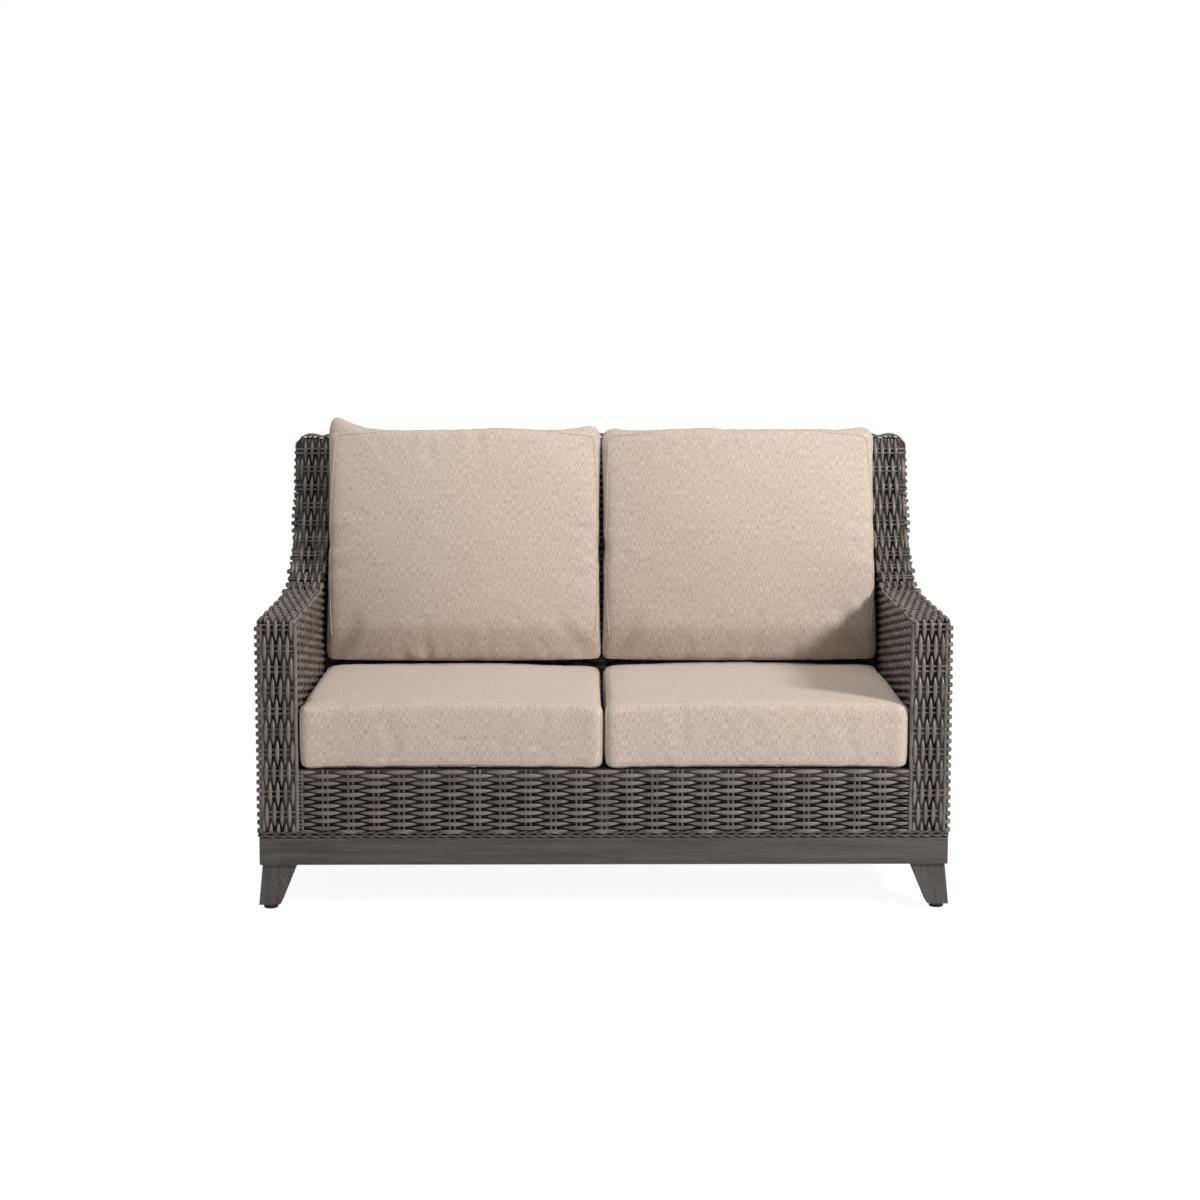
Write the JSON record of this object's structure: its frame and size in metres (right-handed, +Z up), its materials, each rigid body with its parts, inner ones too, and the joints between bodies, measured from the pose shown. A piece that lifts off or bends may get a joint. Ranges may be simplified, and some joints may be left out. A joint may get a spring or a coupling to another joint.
{
  "type": "outdoor loveseat",
  "caption": "Woven outdoor loveseat on splayed legs, with level scooped arms, a leaning back, a wood-grain base rail and loose seat and back cushions.",
  "frame": {"origin": "middle of the floor rectangle under the whole loveseat", "axes": "+X to the right as seen from the front, +Y to the back, +Z up; left and right in names are as seen from the front"},
  "size_m": [1.422, 0.8496, 0.9509],
  "materials": {
    "resin_wicker": "round woven resin strand, semi-gloss grey-brown with a fine lengthwise grain",
    "resin_braid": "twisted resin strand, semi-gloss grey-brown",
    "woodgrain_aluminium": "powder coat with a printed and brushed wood grain, satin grey-brown",
    "frame_aluminium": "satin dark brown powder coat on welded square tube",
    "glide_nylon": "dark moulded nylon",
    "fastener_steel": "zinc-plated hexagon bolts",
    "cushion_fabric": "heathered linen-look outdoor weave, light taupe"
  },
  "bodies": {
    "frame": {"apron_post": "frame_aluminium", "apron_weave": "resin_wicker", "arm_front_weave_left": "resin_wicker", "arm_front_weave_right": "resin_wicker", "arm_inner_weave_left": "resin_wicker", "arm_inner_weave_right": "resin_wicker", "arm_spacers": "frame_aluminium", "arm_top_weave_left": "resin_wicker", "arm_top_weave_right": "resin_wicker", "arm_tube_inner_left": "frame_aluminium", "arm_tube_inner_right": "frame_aluminium", "arm_tube_outer_left": "frame_aluminium", "arm_tube_outer_right": "frame_aluminium", "back_front_weave": "resin_wicker", "back_rear_weave": "resin_wicker", "back_stile_left": "frame_aluminium", "back_stile_middle": "frame_aluminium", "back_stile_right": "frame_aluminium", "base_braid": "resin_braid", "base_cross_tube": "frame_aluminium", "base_rail_back": "woodgrain_aluminium", "base_rail_front": "woodgrain_aluminium", "base_rail_left": "woodgrain_aluminium", "base_rail_right": "woodgrain_aluminium", "crest_tube_front": "frame_aluminium", "crest_tube_rear": "frame_aluminium", "crest_weave": "resin_wicker", "deck_back_tube": "frame_aluminium", "deck_front_tube": "frame_aluminium", "deck_middle_tube": "frame_aluminium", "deck_post_left": "frame_aluminium", "deck_post_right": "frame_aluminium", "deck_side_tube_left": "frame_aluminium", "deck_side_tube_right": "frame_aluminium", "front_post_inner_left": "frame_aluminium", "front_post_inner_right": "frame_aluminium", "front_post_outer_left": "frame_aluminium", "front_post_outer_right": "frame_aluminium", "glide_back_left": "glide_nylon", "glide_back_right": "glide_nylon", "glide_front_left": "glide_nylon", "glide_front_right": "glide_nylon", "leg_back_left": "woodgrain_aluminium", "leg_back_right": "woodgrain_aluminium", "leg_bolts": "fastener_steel", "leg_brackets": "frame_aluminium", "leg_front_left": "woodgrain_aluminium", "leg_front_right": "woodgrain_aluminium", "rear_post_left": "frame_aluminium", "rear_post_middle": "frame_aluminium", "rear_post_right": "frame_aluminium", "seat_slats_left": "frame_aluminium", "seat_slats_right": "frame_aluminium", "side_weave_left": "resin_wicker", "side_weave_right": "resin_wicker"},
    "seat_cushion_left": {"seat_cushion_left": "cushion_fabric"},
    "back_cushion_left": {"back_cushion_left": "cushion_fabric"},
    "seat_cushion_right": {"seat_cushion_right": "cushion_fabric"},
    "back_cushion_right": {"back_cushion_right": "cushion_fabric"}
  },
  "joints": [
    {"name": "seat_cushion_left_pull", "type": "slide", "parent": "frame", "child": "seat_cushion_left", "axis": [0, -1, 0], "range_m": [0, 0.3]},
    {"name": "back_cushion_left_lift", "type": "slide", "parent": "frame", "child": "back_cushion_left", "axis": [0, 0.2756, 0.9613], "range_m": [0, 0.35]},
    {"name": "seat_cushion_right_pull", "type": "slide", "parent": "frame", "child": "seat_cushion_right", "axis": [0, -1, 0], "range_m": [0, 0.3]},
    {"name": "back_cushion_right_lift", "type": "slide", "parent": "frame", "child": "back_cushion_right", "axis": [0, 0.2756, 0.9613], "range_m": [0, 0.35]}
  ]
}
